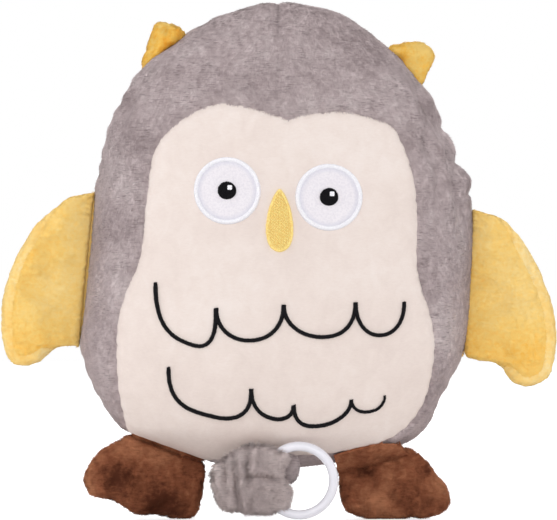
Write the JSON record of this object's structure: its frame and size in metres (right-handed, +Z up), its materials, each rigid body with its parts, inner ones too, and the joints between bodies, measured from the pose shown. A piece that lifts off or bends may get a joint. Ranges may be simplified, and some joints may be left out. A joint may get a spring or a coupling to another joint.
{
  "type": "plush owl",
  "caption": "Stuffed plush owl, upright on its feet, with a face panel, soft wings and ears, and a pull ring that winds a musical movement inside it.",
  "frame": {"origin": "on the floor, under the middle of the owl's box", "axes": "+Z up, the face looks along -Y, +X is the right-hand side of the front view"},
  "size_m": [0.3137, 0.127, 0.2906],
  "materials": {
    "grey_plush": "short taupe grey pile with nap streaks",
    "cream_plush": "short cream pile",
    "yellow_plush": "short warm yellow pile",
    "brown_plush": "short chestnut brown pile",
    "stuffing": "white polyester fibre filling",
    "white_thread": "white felt and satin stitch",
    "black_thread": "black embroidery thread",
    "yellow_thread": "yellow embroidery thread",
    "white_plastic": "moulded white plastic",
    "case_plastic": "moulded pale plastic",
    "cord": "braided off-white cord",
    "brass": "stamped and turned brass",
    "steel": "plain steel"
  },
  "bodies": {
    "owl_body": {"body_filling": "stuffing", "left_front_cover": "grey_plush", "right_front_cover": "grey_plush", "back_cover": "grey_plush", "cream_panel": "cream_plush", "left_ear": "yellow_plush", "right_ear": "yellow_plush", "left_eye_white": "white_thread", "left_pupil": "black_thread", "left_eye_glint": "white_thread", "right_eye_white": "white_thread", "right_pupil": "black_thread", "right_eye_glint": "white_thread", "beak": "yellow_thread", "upper_scallop_stitching": "black_thread", "lower_scallop_stitching": "black_thread", "cord_eyelet": "white_plastic", "cord_guide_tube": "case_plastic", "pull_cord": "cord", "case_front": "case_plastic", "case_back": "case_plastic", "front_plate": "brass", "back_plate": "brass", "frame_pillar_1": "brass", "frame_pillar_2": "brass", "frame_pillar_3": "brass", "frame_screw_1": "steel", "frame_screw_2": "steel", "frame_screw_3": "steel", "spool_arbor": "steel", "cylinder_arbor": "steel", "mainspring": "steel", "tone_comb": "steel", "comb_block": "steel", "comb_screw_1": "steel", "comb_screw_2": "steel"},
    "left_wing": {"left_wing_front_cover": "yellow_plush", "left_wing_back_cover": "yellow_plush", "left_wing_filling": "stuffing"},
    "right_wing": {"right_wing_front_cover": "yellow_plush", "right_wing_back_cover": "yellow_plush", "right_wing_filling": "stuffing"},
    "left_foot": {"left_foot_front_cover": "brown_plush", "left_foot_back_cover": "brown_plush", "left_foot_filling": "stuffing"},
    "right_foot": {"right_foot_front_cover": "brown_plush", "right_foot_back_cover": "brown_plush", "right_foot_filling": "stuffing"},
    "tab": {"pull_tab": "grey_plush", "cord_end_knot": "cord"},
    "ring": {"pull_ring": "white_plastic"},
    "spool": {"cord_spool": "brass", "wound_cord": "cord"},
    "cylinder": {"pinned_cylinder": "brass"},
    "governor_spindle": {"governor": "brass"}
  },
  "joints": [
    {"name": "left_wing_flap", "type": "hinge", "parent": "owl_body", "child": "left_wing", "pos_m": [-0.10915, 0, 0.14092], "axis": [0.0979, 0, 0.9952], "range_deg": [-50, 50], "stiffness_Nm_per_rad": 0.02},
    {"name": "right_wing_flap", "type": "hinge", "parent": "owl_body", "child": "right_wing", "pos_m": [0.10789, 0, 0.13049], "axis": [-0.0746, 0, -0.9972], "range_deg": [-50, 50], "stiffness_Nm_per_rad": 0.02},
    {"name": "left_foot_bend", "type": "hinge", "parent": "owl_body", "child": "left_foot", "pos_m": [-0.06208, 0, 0.03812], "axis": [-0.9382, 0, 0.3461], "range_deg": [-35, 30], "stiffness_Nm_per_rad": 0.5},
    {"name": "right_foot_bend", "type": "hinge", "parent": "owl_body", "child": "right_foot", "pos_m": [0.05203, 0, 0.03368], "axis": [-0.9632, 0, -0.2689], "range_deg": [-35, 30], "stiffness_Nm_per_rad": 0.5},
    {"name": "pull_cord_slide", "type": "slide", "parent": "owl_body", "child": "tab", "axis": [0, -1, 0], "range_m": [0, 0.2], "stiffness_N_per_m": 30, "springref_m": -0.05},
    {"name": "ring_turn", "type": "hinge", "parent": "tab", "child": "ring", "pos_m": [0.0118, -0.04337, 0.023], "axis": [0, 1, 0], "continuous": true},
    {"name": "spool_turn", "type": "hinge", "parent": "owl_body", "child": "spool", "pos_m": [-0.0095, 0.001, 0.113], "axis": [0, 1, 0], "continuous": true},
    {"name": "cylinder_turn", "type": "hinge", "parent": "owl_body", "child": "cylinder", "pos_m": [0.01199, 0.001, 0.10998], "axis": [0, 1, 0], "continuous": true},
    {"name": "governor_turn", "type": "hinge", "parent": "owl_body", "child": "governor_spindle", "pos_m": [0.01481, 0.001, 0.12051], "axis": [0, 1, 0], "continuous": true}
  ],
  "couplings": [
    {"joint": "spool_turn", "follows": "pull_cord_slide", "rad_per_m": -83.333},
    {"joint": "cylinder_turn", "follows": "pull_cord_slide", "rad_per_m": 166.67},
    {"joint": "governor_turn", "follows": "pull_cord_slide", "rad_per_m": -333.33}
  ]
}
